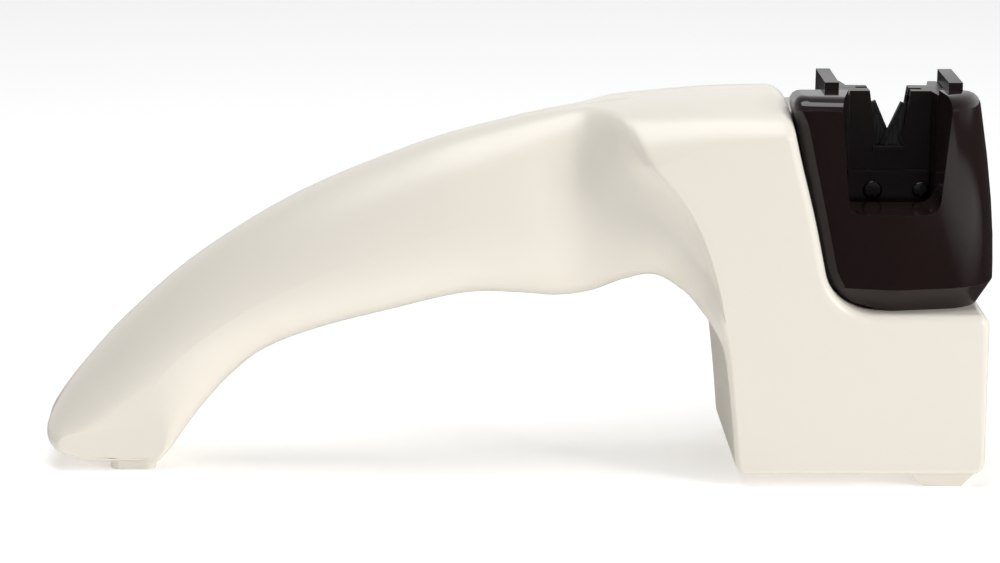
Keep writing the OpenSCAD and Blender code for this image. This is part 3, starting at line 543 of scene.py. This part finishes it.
# %% Metals and abrasive
def steel(name, a, b, rough, stretch, scale, grain):
    material, nodes, links, shader = new_material(name)
    brushed = noise(nodes, links, scale, 5, stretch)
    links.new(two_colours(nodes, links, brushed, a, b), shader.inputs["Base Color"])
    links.new(between(nodes, links, brushed, *rough), shader.inputs["Roughness"])
    shader.inputs["Metallic"].default_value = 1.0
    bumped(nodes, links, shader, brushed, grain, 0.00004)
    return material


arm_steel = steel("dark_ground_steel", (0.07, 0.068, 0.07), (0.12, 0.117, 0.12),
                  (0.32, 0.48), (1, 1, 0.12), 2600, 0.3)
screw_steel = steel("dark_screw_steel", (0.035, 0.032, 0.032), (0.065, 0.06, 0.06),
                    (0.25, 0.38), (1, 0.3, 1), 1800, 0.2)
bright_steel = steel("bright_screw_steel", (0.42, 0.41, 0.40), (0.56, 0.55, 0.54),
                     (0.2, 0.34), (1, 0.3, 1), 1500, 0.15)
spring_steel = steel("spring_wire", (0.10, 0.10, 0.10), (0.2, 0.2, 0.2),
                     (0.25, 0.4), (1, 1, 1), 3000, 0.1)

strip, nodes, links, shader = new_material("black_abrasive")
grains = noise(nodes, links, 6000, 2)
black, grey = (0.006, 0.006, 0.007), (0.05, 0.05, 0.052)
links.new(two_colours(nodes, links, grains, black, grey, 0.45, 0.75), shader.inputs["Base Color"])
links.new(between(nodes, links, grains, 0.75, 0.45), shader.inputs["Roughness"])
bumped(nodes, links, shader, grains, 0.6, 0.00008)
print("metals ready")

# %% [markdown]
# ## Who rides on what
# Each new piece stands for a CAD node and moves with that node's body. The small parts
# whose CAD shape is already right only change their material.

# %% Dress the parts
dressed = [
    (front, "front_shell", "frame_body", "cream_plastic", cream),
    (rear, "rear_shell", "frame_body", "cream_plastic", cream),
    (pad, "handle_foot", "frame_body", "soft_feet", soft_cream),
    (bar, "base_foot", "frame_body", "soft_feet", soft_cream),
    (housing, "head_housing", "frame_body", "dark_gloss", dark_gloss),
    (tray, "head_base", "frame_body", "dark_matte", tray_dark),
    (cartridge, "cartridge_front", "frame_body", "dark_matte", dark_satin),
    (backing, "cartridge_rear", "frame_body", "dark_matte", dark_satin),
    (shell_screw_set, "shell_screws", "frame_body", "bright_steel", bright_steel),
    (small_front, "cartridge_screws", "frame_body", "bright_steel", screw_steel),
    (right_pin, "right_pivot_pin", "frame_body", "bright_steel", screw_steel),
    (left_pin, "left_pivot_pin", "frame_body", "bright_steel", screw_steel),
]
for piece, node, body, slot, material in dressed:
    piece.data.materials.clear()
    piece.data.materials.append(material)
    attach(piece, body)
    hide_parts(node)
for node, material in (("right_arm", arm_steel), ("left_arm", arm_steel), ("right_stone", strip),
                       ("left_stone", strip), ("right_spring", spring_steel), ("left_spring", spring_steel),
                       ("stop_pins", bright_steel), ("head_screws", bright_steel)):
    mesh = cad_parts[node].data
    mesh.materials.clear()
    mesh.materials.append(material)
for shell in (front, rear):
    flat_stays_flat(shell)
print(len(dressed), "pieces dressed")

# %% [markdown]
# ## Floor, background and light
# The studio is white all round, so the floor and the world show white to the camera,
# and the floor still takes the soft shadow. One light stands to the right of the camera,
# which makes the tower's right side the brightest. A broad one hangs above, a little to
# the left, for the handle. The floor's own emission is a painted bounce light that lifts
# the underside of the handle; to the camera it is weaker near the object, a painted shade
# around it. The head's reflections are painted: mirrored rays see a dark floor with one
# bright round patch, and a world with a white wall behind and a darker ceiling.

# %% Floor
def round_patch(nodes, links, location=(0, 0, 0), scale=(1, 1, 1)):
    """1 at the middle of the patch and 0 one unit away from it."""
    place = nodes.new("ShaderNodeTexCoord")
    mapping = nodes.new("ShaderNodeMapping")
    mapping.inputs["Location"].default_value = location
    mapping.inputs["Scale"].default_value = scale
    gradient = nodes.new("ShaderNodeTexGradient")
    gradient.gradient_type = "SPHERICAL"
    links.new(place.outputs["Object"], mapping.inputs["Vector"])
    links.new(mapping.outputs["Vector"], gradient.inputs["Vector"])
    return gradient.outputs["Fac"]


# floor_glow is emission for all rays: a painted bounce light that lights the object from below
floor_glow = 0.40
bm = bmesh.new()
bmesh.ops.create_grid(bm, x_segments=1, y_segments=1, size=3.0)
floor = link("floor", bm, smooth=False)
paper, nodes, links, shader = new_material("floor_paper_with_painted_light")
shader.inputs["Base Color"].default_value = (0.92, 0.92, 0.92, 1)
shader.inputs["Roughness"].default_value = 0.9
shader.inputs["Specular IOR Level"].default_value = 0.1
seen = nodes.new("ShaderNodeLightPath")
glow = nodes.new("ShaderNodeMath")
glow.operation = "MULTIPLY_ADD"
glow.inputs[2].default_value = floor_glow
links.new(seen.outputs["Is Camera Ray"], glow.inputs[0])
# To the camera only, the glow falls from 0.39 far away to 0.27 near the object: a painted shade on the floor
# around it
near = round_patch(nodes, links, scale=(1.6, 1.6, 1))
links.new(spread(nodes, links, near, 0.0, 0.8, -0.01, -0.13), glow.inputs[1])
shader.inputs["Emission Color"].default_value = (1, 1, 1, 1)
links.new(glow.outputs["Value"], shader.inputs["Emission Strength"])
print("floor glow:", floor_glow)

# %% [markdown]
# ## Painted reflections on the polished head
# A polished dark moulding shows the room more than its own colour. A plain white floor
# would turn it grey, so its reflection is painted: mirrored rays meet a dark floor with one bright round
# patch.

# %% Painted reflection: what the polished head sees of the floor
# Glossy rays only: a dark floor with one bright patch, a painted reflection on the head
painted_reflection_patch = round_patch(nodes, links, location=(-0.55, 0.24, 0))
mirrored = nodes.new("ShaderNodeEmission")
links.new(spread(nodes, links, painted_reflection_patch, 0.64, 0.80, 0.05, 0.95), mirrored.inputs["Strength"])
blend = nodes.new("ShaderNodeMixShader")
links.new(seen.outputs["Is Glossy Ray"], blend.inputs[0])
links.new(shader.outputs["BSDF"], blend.inputs[1])
links.new(mirrored.outputs["Emission"], blend.inputs[2])
links.new(blend.outputs["Shader"], nodes["Material Output"].inputs["Surface"])
floor.data.materials.append(paper)
print("floor:", len(nodes), "nodes in its paper")

# %% World
world = bpy.data.worlds.new("studio")
bpy.context.scene.world = world
world.use_nodes = True
nodes, links = world.node_tree.nodes, world.node_tree.links
ambient = nodes["Background"]
ambient.inputs["Color"].default_value = (0.96, 0.98, 1.0, 1)
ambient.inputs["Strength"].default_value = 0.24
white = nodes.new("ShaderNodeBackground")
white.inputs["Color"].default_value = (1, 1, 1, 1)
seen = nodes.new("ShaderNodeLightPath")
way = nodes.new("ShaderNodeTexCoord")
part = nodes.new("ShaderNodeSeparateXYZ")
links.new(way.outputs["Generated"], part.inputs["Vector"])
# Mirrored and transmitted rays see a white wall behind the object and a darker ceiling: a painted reflection
# that lights nothing
painted_reflection_room = nodes.new("ShaderNodeMath")
painted_reflection_room.operation = "MULTIPLY"
links.new(spread(nodes, links, part.outputs["Y"], -0.1, 0.5, 0.4, 1.0), painted_reflection_room.inputs[0])
links.new(spread(nodes, links, part.outputs["Z"], 0.25, 0.7, 1.0, 0.35), painted_reflection_room.inputs[1])
strength = nodes.new("ShaderNodeMath")
strength.operation = "MAXIMUM"
links.new(seen.outputs["Is Camera Ray"], strength.inputs[0])
links.new(painted_reflection_room.outputs["Value"], strength.inputs[1])
links.new(strength.outputs["Value"], white.inputs["Strength"])
straight = nodes.new("ShaderNodeMath")
straight.operation = "MAXIMUM"
links.new(seen.outputs["Is Camera Ray"], straight.inputs[0])
links.new(seen.outputs["Is Glossy Ray"], straight.inputs[1])
shown = nodes.new("ShaderNodeMath")
shown.operation = "MAXIMUM"
links.new(straight.outputs["Value"], shown.inputs[0])
links.new(seen.outputs["Is Transmission Ray"], shown.inputs[1])
blend = nodes.new("ShaderNodeMixShader")
links.new(shown.outputs["Value"], blend.inputs[0])
links.new(ambient.outputs["Background"], blend.inputs[1])
links.new(white.outputs["Background"], blend.inputs[2])
links.new(blend.outputs["Shader"], nodes["World Output"].inputs["Surface"])
print("world:", len(nodes), "nodes")


# %% Lamps
def lamp(name, place, target, size, power, colour=(1, 1, 1)):
    data = bpy.data.lights.new(name, "AREA")
    data.shape = "RECTANGLE"
    data.size, data.size_y = size
    data.energy = power
    data.color = colour
    obj = bpy.data.objects.new(name, data)
    bpy.context.scene.collection.objects.link(obj)
    aim = (Vector(target) - Vector(place)).to_track_quat("-Z", "Y").to_matrix().to_4x4()
    obj.matrix_world = Matrix.Translation(place) @ aim
    print(name, "lamp:", power, "W")


lamp("key", (0.82, -0.50, 0.42), (0.0, 0.0, 0.04), (0.30, 0.55), 5.0, (1.0, 0.99, 0.975))
lamp("top", (-0.08, 0.02, 0.75), (0.02, 0.0, 0.03), (0.6, 0.5), 3.6)

bpy.context.scene.view_settings.view_transform = "Standard"
